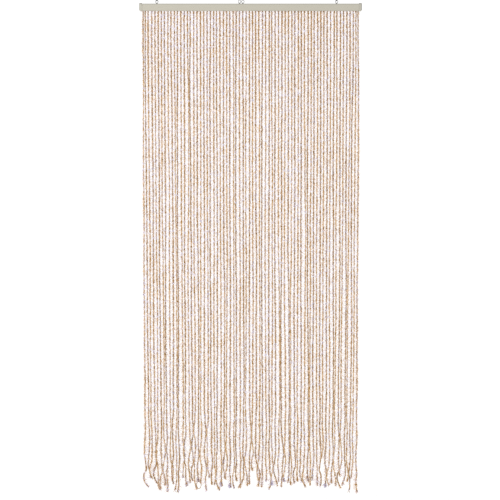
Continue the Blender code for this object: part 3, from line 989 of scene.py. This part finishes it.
# The leaves of a tufted end
END_TUFT = LeafRule(LeafKind.FILM, Film.PEARL, length=(8.0 * MM, 13.0 * MM), width=(3.0 * MM, 4.4 * MM),
                    lean_deg=(15, 75), roll_deg=60, arch=0.12, tone=(0.0, 0.7))

# Open loops of ply by string: height above the hem line, half width and half height in mm
LOOPS = {4: (173.0, 6.0, 7.0), 17: (23.0, 10.0, 17.0), 36: (292.0, 5.5, 7.0)}

# Strings whose end differs from the usual frayed one
ENDS = {StringEnd.FORKED: (10, 11, 65), StringEnd.KNOTTED: (67,),
        StringEnd.TUFTED: (13, 17, 24, 27, 40, 44, 57)}

# Full dark knobs where strings touch near the hem, by string: height above the hem line in mm
FULL_KNOBS = {0: 103, 3: 99, 4: 121, 6: 162, 8: 108, 15: 270, 21: 72, 25: 135, 32: 58, 33: 245, 35: 160,
              36: 159, 45: 166, 48: 40, 51: 63, 54: 55, 59: 45}


@dataclass
class LeafyString:
    """One string: a twisted two-ply yarn with leaves of film caught between its plies.

    Leaves crowd at knobs, where they lie darker and thicker, and fine wisps stand out evenly all
    along. The share of pearl film drifts slowly down the string, and it is darker towards its top.
    Leaves turn away from a near neighbour, and rub off where strings touch.
    """

    number: int
    course: np.ndarray
    beside: tuple[np.ndarray, np.ndarray]
    dice: np.random.RandomState
    hem: float
    tone: float
    fullness: float
    pearl: float
    lay: float

    # The twisted plies, their taper, and the kinks that they keep: wavelength in metres and share
    step: float = 5 * MM
    sides: int = 6
    ply_reach: float = 2.6 * MM
    ply_waist: float = 1.6 * MM
    taper: float = 12 * MM
    taper_tip: float = 0.35
    kink: float = 0.3 * MM
    kink_waves: tuple[tuple[float, float], ...] = ((0.019, 0.8), (0.043, 1.0), (0.11, 1.2))
    kink_start: float = 20 * MM

    # The knobs, the full ones where strings touch, and the clump above the string's end
    knob_gap: tuple[float, float] = (15 * MM, 38 * MM)
    first_gap: tuple[float, float] = (0.5, 0.9)
    knob_half: tuple[float, float] = (5.0 * MM, 10.0 * MM)
    knob_swell: float = 0.25
    full_knob_size: float = 1.3
    full_knob_share: float = 2.0
    clump_above: float = 9 * MM
    clump_range: tuple[float, float] = (0.7, 1.4)
    clump_share: float = 1.8

    # How the share of pearl film drifts: wavelength in metres and share, and what it does to tones
    drift: tuple[tuple[float, float], ...] = ((0.27, 0.35), (0.9, 0.75))
    pearl_spread: float = 0.7
    pearl_tone: float = 0.12
    tone_spread: float = 0.33

    # How much darker the string is towards the root, and how pale the yarn is between knobs and at them
    root_darkening: float = 0.46
    root_darkening_length: float = 0.45
    root_darkening_leaves: float = 0.4
    yarn_pale: float = 0.45
    yarn_root_darkening: float = 1.6
    yarn_knob: float = 0.6
    dark_end: float = 10 * MM
    dark_end_tone: float = 0.15

    # Room beside the string as a share of the usual distance, and what leaves do where it is small
    room_limits: tuple[float, float] = (0.45, 1.7)
    turn_aside: float = 0.6
    rub_room: float = 0.85
    rub_share: float = 0.65
    bare_tail: float = 6 * MM
    bare_share: float = 0.15

    # Where leaves are held, the way they turn, and how they fold
    hold_above: float = 3 * MM
    knob_turn: float = 2.4
    turn_spread: float = 0.45
    golden_turn: float = math.pi * (3 - math.sqrt(5))
    wisp_turn_spread: float = 0.3
    first_leaf: float = 1 * MM
    last_leaves: tuple[float, float] = (2 * MM, 14 * MM)
    seat_depth: float = 0.8
    fold_at: float = 0.5
    edge_at: float = 0.45
    edge_rise: float = 0.6
    reach_out: float = 19.5 * MM

    def __post_init__(self) -> None:
        """Lays the string's points, finds the room on both sides, and draws the knobs."""
        self.points = smooth_course(self.course, self.step)
        self.count = len(self.points)
        self.long = (self.count - 1) * self.step
        self.along = np.arange(self.count) * self.step
        self.bend()
        self.tangent = directions(self.points)
        side = np.array([1.0, 0.0, 0.0])
        self.across = unit(side - self.tangent * (self.tangent @ side)[:, None])
        self.outward = np.cross(self.tangent, self.across)
        away = [np.abs(self.points[:, 0] - np.interp(-self.points[:, 2], -other[:, 2], other[:, 0]))
                for other in self.beside]
        self.room = np.clip(np.array(away) / PITCH, *self.room_limits)
        self.draw_knobs()

    def bend(self) -> None:
        """Adds the small kinks that a twisted yarn keeps, growing from none at the root."""
        for axis in (0, 1):
            wave = np.zeros(self.count)
            for length, share in self.kink_waves:
                turn = self.dice.uniform(0, 2 * math.pi)
                wave += share * np.sin(2 * math.pi * self.along / length + turn)
            self.points[:, axis] += self.kink * wave * np.clip(self.along / self.kink_start, 0, 1)

    def darkening_near_root(self, along: np.ndarray) -> np.ndarray:
        """Gives how much darker the string is at distances from its root."""
        return self.root_darkening * np.clip(1 - along / self.root_darkening_length, 0, 1)

    def nearest_to(self, above: float) -> int:
        """Gives the number of the point nearest to a height in mm above the hem line."""
        return int(np.argmin(np.abs(self.points[:, 2] - self.hem - above * MM)))

    def draw_knobs(self) -> None:
        """Draws each knob's place, half length, tone, share of leaves and share of pearl."""
        dice = self.dice
        gaps = dice.uniform(*self.knob_gap, size=int(self.long / self.knob_gap[0]) + 2)
        spots = np.cumsum(gaps) - gaps[0] * dice.uniform(*self.first_gap)
        full = []
        if self.number in FULL_KNOBS:
            full.append(self.nearest_to(FULL_KNOBS[self.number]) * self.step)
        clump = self.long - self.clump_above * dice.uniform(*self.clump_range)
        spots = spots[spots < clump - self.knob_half[1]]
        knobs = np.concatenate((spots, full, [clump]))
        order = np.argsort(knobs)
        amount = len(spots)
        paler = np.full(len(knobs), self.pearl - 1)
        for length, share in self.drift:
            paler += share * np.sin(2 * math.pi * (knobs / length + dice.uniform(0, 1)))
        # Knobs towards the root are darker
        tone = self.tone + self.pearl_tone * paler[:amount] - self.darkening_near_root(spots)
        tone = np.clip(tone + dice.normal(0, self.tone_spread, amount), 0, 1)
        half = dice.uniform(*self.knob_half, size=amount)
        sizes = (half, np.full(len(full), self.full_knob_size * self.knob_half[1]), [self.knob_half[1]])
        shares = (np.ones(amount), np.full(len(full), self.full_knob_share), [self.clump_share])
        self.knobs = knobs[order]
        self.knob_tone = np.concatenate((tone, np.zeros(len(full) + 1)))[order]
        self.knob_size = np.concatenate(sizes)[order]
        self.knob_share = np.concatenate(shares)[order]
        self.knob_pearl = np.clip(1 + paler[order] + dice.normal(0, self.pearl_spread, len(order)), 0, 2)

    def build(self, skin: Skin) -> None:
        """Adds the yarn and its leaves.

        Args:
            skin: What takes them.
        """
        self.add_yarn(skin)
        for rule in LEAF_RULES:
            self.add_leaves(skin, rule)

    def add_yarn(self, skin: Skin) -> None:
        """Adds the twisted yarn, swollen and darker at its knobs and tapered at its end.

        Args:
            skin: What takes it.
        """
        away = np.abs(self.along[:, None] - self.knobs[None, :])
        knob = away.argmin(axis=1)
        near = np.exp(-(away[np.arange(self.count), knob] / self.knob_size[knob]) ** 2)
        left = (self.long - self.along) / self.taper
        narrow = np.clip(self.taper_tip + (1 - self.taper_tip) * left, self.taper_tip, 1)
        swell = (1 + self.knob_swell * near) * narrow
        twist = self.dice.uniform(0, math.pi) + 2 * math.pi * self.along / self.lay
        place = round_angles(self.sides)
        angles = twist[:, None] + place[None, :]
        oval = self.ply_waist + (self.ply_reach - self.ply_waist) * np.abs(np.cos(place))
        radius = oval[None, :] * swell[:, None]
        rings = (self.points[:, None] + (radius * np.cos(angles))[:, :, None] * self.across[:, None]
                 + (radius * np.sin(angles))[:, :, None] * self.outward[:, None])
        # The yarn is darker towards the root
        pale = np.clip(self.tone + self.yarn_pale - self.yarn_root_darkening * self.darkening_near_root(self.along), 0, 1)
        tones = pale + (self.knob_tone[knob] * self.yarn_knob - pale) * near
        skin.add_rings(rings, np.where(self.along > self.long - self.dark_end, self.dark_end_tone, tones))

    def add_leaves(self, skin: Skin, rule: LeafRule) -> None:
        """Adds every leaf of one kind.

        Args:
            skin: What takes the leaves.
            rule: How they are cut and stand.
        """
        dice = self.dice
        usual = np.mean(self.knob_gap)
        gap = np.diff(np.append(self.knobs, self.knobs[-1] + usual))
        nearest = self.room[:, np.round(self.knobs / self.step).astype(int)].min(axis=0)
        rubbed = np.clip(nearest / self.rub_room, self.rub_share, 1)
        fuller = 1 + self.root_darkening_leaves * self.darkening_near_root(self.knobs)
        share = rule.per_knob * self.fullness * self.knob_share * fuller * rubbed
        share *= rule.amount[0] + rule.amount[1] * self.knob_pearl
        share[-1] *= rule.lowest
        if rule.kind is LeafKind.WISP:
            # Wisps stand along the whole gap below a knob, and the first gap starts at the root
            gap[0] += self.knobs[0]
            share[:-1] *= gap[:-1] / usual
        fade = np.clip((self.long - self.knobs) / self.bare_tail, self.bare_share, 1)
        wanted = np.floor(share * fade + dice.uniform(0, 1, len(self.knobs))).astype(int)
        knob = np.repeat(np.arange(len(self.knobs)), wanted)
        amount = len(knob)
        order = np.arange(amount) - np.concatenate(([0], np.cumsum(wanted)[:-1]))[knob]
        slip = dice.normal(0, rule.spread, amount)
        sway = dice.normal(0, self.turn_spread, amount)
        tones = (dice.uniform(*rule.tone, size=amount) + rule.by_knob * self.knob_tone[knob]
                 + rule.by_pearl * self.knob_pearl[knob])
        if rule.kind is LeafKind.WISP:
            start = np.append(0.0, self.knobs[1:])
            spot = start[knob] + gap[knob] * (order + dice.uniform(0, 1, amount)) / wanted[knob]
            turn = self.golden_turn * order + dice.normal(0, self.wisp_turn_spread, amount)
        else:
            spot = self.knobs[knob] + rule.offset * gap[knob] + slip
            turn = 2 * math.pi * order / wanted[knob] + sway
        self.add_leaf_shapes(skin, rule, spot - self.hold_above, turn + self.knob_turn * knob,
                             np.clip(tones, 0, 1))

    def add_leaf_shapes(self, skin: Skin, rule: LeafRule, spot: np.ndarray, turn: np.ndarray,
                        tones: np.ndarray) -> None:
        """Adds folded leaves: a point where each is held, two sides, a tip, and a tuft's raised middle.

        Args:
            skin: What takes the leaves.
            rule: How they are cut and stand.
            spot: How far along the string each is held.
            turn: The way each faces, as an angle round the string.
            tones: One tone for each.
        """
        dice, amount = self.dice, len(spot)
        inside = self.long - dice.uniform(*self.last_leaves, size=amount)
        spot = np.where(spot > self.long - self.last_leaves[0], inside, spot)
        spot = np.maximum(spot, self.first_leaf)
        i = np.clip(np.round(spot / self.step).astype(int), 0, self.count - 1)
        base = self.points[i] + self.tangent[i] * (spot - self.along[i])[:, None]
        turn = turn - self.turn_aside * (self.room[1, i] - self.room[0, i]) * np.sin(turn)
        cos, sin = np.cos(turn)[:, None], np.sin(turn)[:, None]
        radial = cos * self.across[i] + sin * self.outward[i]
        around = cos * self.outward[i] - sin * self.across[i]
        lean = np.radians(dice.uniform(*rule.lean_deg, size=amount))[:, None]
        way = self.tangent[i] * np.cos(lean) + radial * np.sin(lean)
        face = radial * np.cos(lean) - self.tangent[i] * np.sin(lean)
        roll = np.radians(dice.normal(0, rule.roll_deg, amount))[:, None]
        broad = around * np.cos(roll) + face * np.sin(roll)
        face = face * np.cos(roll) - around * np.sin(roll)
        # A leaf is pressed back by a near neighbour, and stands out further where there is room
        room = self.room[(np.cos(turn) > 0).astype(int), i][:, None]
        spring = 1 + (room - 1) * np.abs(cos) * np.sin(lean)
        length = dice.uniform(*rule.length, size=amount)[:, None] * spring
        width = dice.uniform(*rule.width, size=amount)[:, None]
        arch = face * (rule.arch * length)
        seat = base + radial * (self.ply_waist * self.seat_depth)
        middle = seat + way * length * self.fold_at + arch
        edge = seat + way * length * self.edge_at + arch * self.edge_rise
        left, right = edge + broad * width / 2, edge - broad * width / 2
        tip = seat + way * length
        if rule.kind is LeafKind.TUFT:
            corners = (seat, left, middle, right, tip)
            pattern = np.array([[0, 2, 1], [0, 3, 2], [1, 2, 4], [2, 3, 4]])
        else:
            corners = (seat, left, tip, right)
            pattern = np.array([[0, 2, 1], [0, 3, 2]])
        leaves = np.stack(corners, axis=1).reshape(-1, 3)
        # Leaves in front and behind are pressed back to the curtain's depth
        leaves[:, 1] = np.clip(leaves[:, 1], -self.reach_out, self.reach_out)
        faces = (np.arange(amount)[:, None, None] * len(corners) + pattern[None]).reshape(-1, 3)
        skin.add(leaves, faces, np.repeat(tones, len(corners)), rule.film.value, smooth=False)


@dataclass
class YarnEnd:
    """What a string ends in: open plies, a fork, a knot or a tuft of film, and a loop near it."""

    string: LeafyString
    fray: tuple[float, float] = (9 * MM, 1.8 * MM)
    fork: tuple[float, float] = (24 * MM, 5.0 * MM)
    ply_points: int = 6
    ply_sides: int = 5
    ply_radius: tuple[float, float] = (1.3 * MM, 0.6 * MM)
    ply_tone: tuple[float, float] = (0.35, 0.1)
    ply_start: float = 0.6
    ply_length: tuple[float, float] = (0.75, 1.0)
    ply_bow: float = 1.6
    tuft_leaves: int = 30
    tuft_reach: tuple[float, float] = (2 * MM, 22 * MM)
    loop_points: int = 24
    loop_ply: float = 1.5 * MM
    loop_twist_mm: float = 0.8
    loop_tone: float = 0.05
    knot_above: float = 33 * MM
    knot_points: int = 28
    knot_size: float = 1.7 * MM
    knot_coil: tuple[float, float] = (1.6, 1.3)
    knot_lean: tuple[float, float, float] = (0.3, 0.5, 0.8)
    knot_ply: float = 2.0 * MM
    knot_tone: float = 0.0
    coil_sides: int = 6

    def build(self, skin: Skin) -> None:
        """Adds the end.

        Args:
            skin: What takes it.
        """
        string = self.string
        end = next((kind for kind, strings in ENDS.items() if string.number in strings), StringEnd.FRAYED)
        if end is StringEnd.KNOTTED:
            self.add_knot(skin)
        else:
            self.add_plies(skin, *(self.fork if end is StringEnd.FORKED else self.fray))
        if end is StringEnd.TUFTED:
            spot = string.long - string.dice.uniform(*self.tuft_reach, size=self.tuft_leaves)
            turn = string.dice.uniform(0, 2 * math.pi, self.tuft_leaves)
            tones = string.dice.uniform(*END_TUFT.tone, size=self.tuft_leaves)
            string.add_leaf_shapes(skin, END_TUFT, spot, turn, tones)
        if string.number in LOOPS:
            self.add_loop(skin, *LOOPS[string.number])

    def add_plies(self, skin: Skin, length: float, apart: float) -> None:
        """Adds the two plies that come open over the string's last stretch.

        Args:
            skin: What takes them.
            length: How long the open stretch is.
            apart: How far each ply's tip stands from the string's line.
        """
        last, down = self.string.points[-1], self.string.tangent[-1]
        across, outward = self.string.across[-1], self.string.outward[-1]
        t = np.linspace(0, 1, self.ply_points)[:, None]
        radius = np.linspace(*self.ply_radius, self.ply_points)
        tones = np.linspace(*self.ply_tone, self.ply_points)
        for side in (-1, 1):
            start = last - down * length * self.ply_start
            way = down * length * self.string.dice.uniform(*self.ply_length)
            sideways = across * side * apart + outward * self.string.dice.uniform(-1, 1) * MM
            path = start + way * t + sideways * t ** self.ply_bow
            skin.add_rings(bent_wire(path, (0, 1, 0), radius, self.ply_sides), tones)

    def add_loop(self, skin: Skin, above: float, half_width: float, half_height: float) -> None:
        """Adds a loop of ply that stands open beside the string's line.

        Args:
            skin: What takes it.
            above: How far its middle lies above the hem line, in mm.
            half_width: Half its width in mm.
            half_height: Half its height in mm.
        """
        beside = self.string.points[self.string.nearest_to(above)]
        middle = beside * (1, 1, 0) + (0, 0, self.string.hem + above * MM)
        turn = round_angles(self.loop_points)
        oval = np.stack((half_width * np.sin(turn), self.loop_twist_mm * np.sin(3 * turn),
                         half_height * np.cos(turn)), axis=1)
        loop = bent_wire(middle + oval * MM, (0, 1, 0), self.loop_ply, self.coil_sides, closed=True)
        skin.add_rings(loop, self.loop_tone, closed=True)

    def add_knot(self, skin: Skin) -> None:
        """Adds an overhand knot.

        Args:
            skin: What takes it.
        """
        string = self.string
        turn = round_angles(self.knot_points)
        wide, deep = self.knot_coil
        coil = np.stack((np.sin(turn) + wide * np.sin(2 * turn), np.cos(turn) - wide * np.cos(2 * turn),
                         -deep * np.sin(3 * turn)), axis=1)
        path = string.points[int((string.long - self.knot_above) / string.step)] + coil * self.knot_size
        # The coil never runs along this direction, so it gives every ring a side
        across = unit(np.cross(directions(path, closed=True), self.knot_lean))
        knot = bent_wire(path, across, self.knot_ply, self.coil_sides, closed=True)
        skin.add_rings(knot, self.knot_tone, closed=True)


@dataclass
class LeafyStrings:
    """All strings, in sections that hang side by side."""

    seed: int = 67
    sections: int = 6
    fall: float = 2.155
    tone: tuple[float, float] = (0.43, 0.51)
    fullness: tuple[float, float] = (0.9, 1.06)
    pearl: tuple[float, float] = (0.5, 1.5)
    lay_mm: tuple[float, float] = (38, 52)

    def build(self, foot: float) -> list[Object]:
        """Builds the sections.

        Args:
            foot: The height of the heading strip's underside.

        Returns:
            One object for each section.
        """
        finishes = [TwistedYarn().build(), *(FILMS[film].build() for film in Film)]
        courses = read_courses(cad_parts["strands"], foot)
        LOG.info("read %d courses", len(courses))
        edges = np.linspace(0, len(courses), self.sections + 1).round().astype(int)
        pieces = []
        for section in range(self.sections):
            skin = Skin()
            for number in range(edges[section], edges[section + 1]):
                self.add_string(skin, number, courses, foot - self.fall)
            piece = skin.build(f"leafy_strings_{section + 1}", finishes)
            pieces.append(fit(piece, "strand", "strands"))
        return pieces

    def add_string(self, skin: Skin, number: int, courses: list[np.ndarray], hem: float) -> None:
        """Adds one string with all that is on it.

        Args:
            skin: What takes it.
            number: The string's place from the left.
            courses: Every string's ring centres.
            hem: The height of the hem line.
        """
        dice = np.random.RandomState(self.seed + number)
        aside = np.array([PITCH, 0.0, 0.0])
        before = courses[number - 1] if number > 0 else courses[number] - aside
        after = courses[number + 1] if number < len(courses) - 1 else courses[number] + aside
        string = LeafyString(
            number, courses[number], (before, after), dice, hem,
            tone=dice.uniform(*self.tone),
            fullness=dice.uniform(*self.fullness),
            pearl=dice.uniform(*self.pearl),
            lay=dice.uniform(*self.lay_mm) * MM,
        )
        string.build(skin)
        YarnEnd(string).build(skin)


@dataclass
class Studio:
    """A white floor, soft white light from all round and a key light from the front left."""

    floor_drop: float = 0.11
    floor_reach: float = 9.0
    surround: float = 1.08
    key_watts: float = 60.0
    key_size: float = 2.0
    key_place: tuple[float, float, float] = (-2.4, -3.4, 0.4)
    key_aim: tuple[float, float, float] = (0.0, 0.0, -1.0)
    lens: float = 250.0
    sensor: float = 36.0
    far: float = 200.0
    view_height: float = 2.247
    view_left: float = -0.0023
    rail_to_middle: float = 1.1070

    def build(self) -> None:
        """Builds the floor, the lights and the camera."""
        self.add_floor(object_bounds()[0].z - self.floor_drop)
        self.add_lights()
        self.add_camera(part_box("rail")[1].z - self.rail_to_middle)
        scene = bpy.context.scene
        scene.view_settings.view_transform = "Standard"
        # The strings are a pixel or two wide, and a denoiser smears their flecks
        scene.cycles.use_denoising = False

    def add_floor(self, level: float) -> None:
        """Lays the floor.

        Args:
            level: Its height.
        """
        reach = self.floor_reach
        mesh = bpy.data.meshes.new("floor")
        corners = [(x * reach, y * reach, level) for x, y in ((-1, -1), (1, -1), (1, 1), (-1, 1))]
        mesh.from_pydata(corners, [], [(0, 1, 2, 3)])
        mesh.materials.append(StudioPaint().build())
        floor = bpy.data.objects.new("floor", mesh)
        bpy.context.scene.collection.objects.link(floor)
        floor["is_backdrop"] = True

    def add_lights(self) -> None:
        """Adds the world's white and the key light."""
        world = bpy.data.worlds.new("white_surround")
        world.use_nodes = True
        set_node(world.node_tree.nodes["Background"],
                 {"Color": (1.0, 1.0, 1.0, 1.0), "Strength": self.surround})
        bpy.context.scene.world = world
        key = bpy.data.lights.new("key", "AREA")
        key.energy = self.key_watts
        key.size = self.key_size
        lamp = bpy.data.objects.new("key", key)
        lamp.location = self.key_place
        aim = Vector(self.key_aim) - lamp.location
        lamp.rotation_euler = aim.to_track_quat("-Z", "Y").to_euler()
        bpy.context.scene.collection.objects.link(lamp)

    def add_camera(self, height: float) -> None:
        """Sets the camera straight in front, far off with a long lens.

        Args:
            height: The camera's height.
        """
        data = bpy.data.cameras.new("camera")
        data.lens = self.lens
        data.sensor_width = self.sensor
        data.clip_end = self.far
        camera = bpy.data.objects.new("camera", data)
        camera.location = (self.view_left, -self.view_height * self.lens / self.sensor, height)
        camera.rotation_euler = (math.radians(90), 0.0, 0.0)
        bpy.context.scene.collection.objects.link(camera)
        bpy.context.scene.camera = camera


def main() -> None:
    """Builds the curtain's looks and its studio."""
    logging.basicConfig(level=logging.INFO, format="%(name)s: %(message)s")
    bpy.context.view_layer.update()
    HeaderRail().build()
    zinc = SteelWire("zinc_plated_wire", "#52504A", "#3E3C38", metallic=0.85, roughness=(0.40, 0.55))
    black = SteelWire("blackened_steel", "#1A1A18", "#0E0E0D", metallic=0.0, roughness=(0.55, 0.7),
                      specular=0.25)
    plated, blackened = zinc.build(), black.build()
    eyes = {name: WireEye(name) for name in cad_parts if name.startswith("eye")}
    for eye in eyes.values():
        eye.build(plated)
    for side in ("left", "right"):
        ScrewHook(f"hook_{side}", eyes[f"eye_{side}"]).build(blackened)
    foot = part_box("rail")[0].z + RAIL_WALL + GAP
    HeadingStrip().build(foot)
    LeafyStrings().build(foot)
    Studio().build()


if __name__ == "__main__":
    main()
